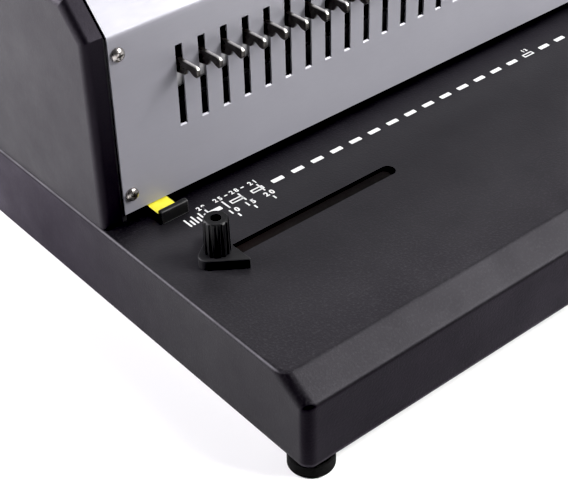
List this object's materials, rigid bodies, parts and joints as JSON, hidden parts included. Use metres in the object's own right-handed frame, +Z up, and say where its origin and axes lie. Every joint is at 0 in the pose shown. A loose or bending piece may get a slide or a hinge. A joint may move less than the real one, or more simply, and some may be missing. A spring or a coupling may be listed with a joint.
{
  "type": "comb binding machine",
  "caption": "Desk comb binding machine: black tray base, slotted silver panel with comb hooks, punch handle and comb lever at the right, clamped paper stop, margin slide, chip drawer.",
  "frame": {"origin": "on the floor under the middle of the whole box", "axes": "+X to the machine's right along the row of slots, +Y to the back, +Z up"},
  "size_m": [0.4236, 0.3, 0.3246],
  "materials": {
    "body_black": "fine-textured matt black coat",
    "cheek_black": "fine-textured matt black",
    "panel_silver": "satin silver",
    "plate_zinc": "zinc plated",
    "screw_bright": "bright plated",
    "foot_rubber": "matt",
    "tool_steel": "ground",
    "blackened_steel": "black oxide",
    "spring_wire": "drawn wire",
    "bearing_brass": "turned",
    "carriage_steel": "bright rolled",
    "hook_steel": "dark, polished on top",
    "hub_black": "fine texture",
    "lever_chrome": "polished",
    "grip_rubber": "soft matt",
    "stop_black": "moulded",
    "strip_dark": "moulded",
    "knob_black": "moulded, fluted",
    "tab_black": "moulded",
    "label_yellow": "smooth",
    "drawer_black": "moulded"
  },
  "bodies": {
    "frame": {"base_housing": "body_black", "base_bottom_plate": "plate_zinc", "bottom_plate_screws": "screw_bright", "rubber_feet": "foot_rubber", "foot_screws": "screw_bright", "left_side_cover": "cheek_black", "right_side_cover": "cheek_black", "front_panel": "panel_silver", "panel_screws": "screw_bright", "top_rear_cover": "body_black", "cover_screws": "screw_bright", "left_frame_plate": "blackened_steel", "right_frame_plate": "blackened_steel", "frame_screws": "screw_bright", "frame_tie_rods": "plate_zinc", "die_plate": "tool_steel", "punch_guide_plate": "tool_steel", "die_spacers": "tool_steel", "die_bolts": "screw_bright", "guide_posts": "blackened_steel", "return_springs": "spring_wire", "shaft_bush_left": "bearing_brass", "sleeve_bush_right": "bearing_brass", "carriage_guide_pins": "tool_steel"},
    "comb_hub": {"comb_sleeve": "tool_steel", "comb_pinion": "tool_steel", "comb_lever": "lever_chrome", "comb_lever_grip": "hub_black"},
    "handle": {"handle_hub": "hub_black", "handle_lever": "lever_chrome", "hub_screw": "screw_bright", "handle_cross_tube": "lever_chrome", "tube_screw": "screw_bright", "handle_grip": "grip_rubber", "tube_end_cap": "hub_black", "punch_shaft": "tool_steel", "punch_pinions": "tool_steel", "shaft_collar": "tool_steel"},
    "punch_head": {"punch_beam": "blackened_steel", "punch_pins": "tool_steel", "punch_clamp_bar": "blackened_steel", "beam_screws": "blackened_steel", "punch_racks": "tool_steel"},
    "hook_bar": {"hook_carriage": "carriage_steel", "comb_hooks": "hook_steel", "carriage_left_plate": "tool_steel", "carriage_rack_plate": "tool_steel"},
    "paper_stop": {"stop_plate": "stop_black", "stop_clamp_nut": "tool_steel", "stop_screw": "screw_bright", "slot_cover_strip": "strip_dark"},
    "clamp_knob": {"stop_knob": "knob_black"},
    "margin_slider": {"margin_tab": "tab_black", "margin_label": "label_yellow", "back_stop_bar": "tool_steel"},
    "drawer": {"chip_drawer": "drawer_black"}
  },
  "joints": [
    {"name": "comb_lever_turn", "type": "hinge", "parent": "frame", "child": "comb_hub", "pos_m": [0.175, 0.06, 0.1233], "axis": [1, 0, 0], "range_deg": [-76, 0]},
    {"name": "handle_pull", "type": "hinge", "parent": "frame", "child": "handle", "pos_m": [0.195, 0.06, 0.1233], "axis": [1, 0, 0], "range_deg": [0, 70], "stiffness_Nm_per_rad": 0.4, "springref_deg": -28.65},
    {"name": "punch_slide", "type": "slide", "parent": "frame", "child": "punch_head", "axis": [0, 0, 1], "range_m": [-0.0123, 0.0001], "deforming": ["return_springs"]},
    {"name": "hook_slide", "type": "slide", "parent": "frame", "child": "hook_bar", "axis": [0, 0, 1], "range_m": [-0.0239, 0.0001]},
    {"name": "paper_stop_slide", "type": "slide", "parent": "frame", "child": "paper_stop", "axis": [1, 0, 0], "range_m": [0, 0.11]},
    {"name": "stop_knob_turn", "type": "hinge", "parent": "paper_stop", "child": "clamp_knob", "pos_m": [-0.1806, -0.0453, 0.0668], "axis": [0, 0, 1], "range_deg": [0, 270]},
    {"name": "margin_slide", "type": "slide", "parent": "frame", "child": "margin_slider", "axis": [0, 1, 0], "range_m": [-0.0015, 0.003]},
    {"name": "chip_drawer_slide", "type": "slide", "parent": "frame", "child": "drawer", "axis": [0, 1, 0], "range_m": [0, 0.12]}
  ],
  "couplings": [
    {"joint": "punch_slide", "follows": "handle_pull", "m_per_rad": -0.01},
    {"joint": "hook_slide", "follows": "comb_lever_turn", "m_per_rad": 0.018}
  ]
}
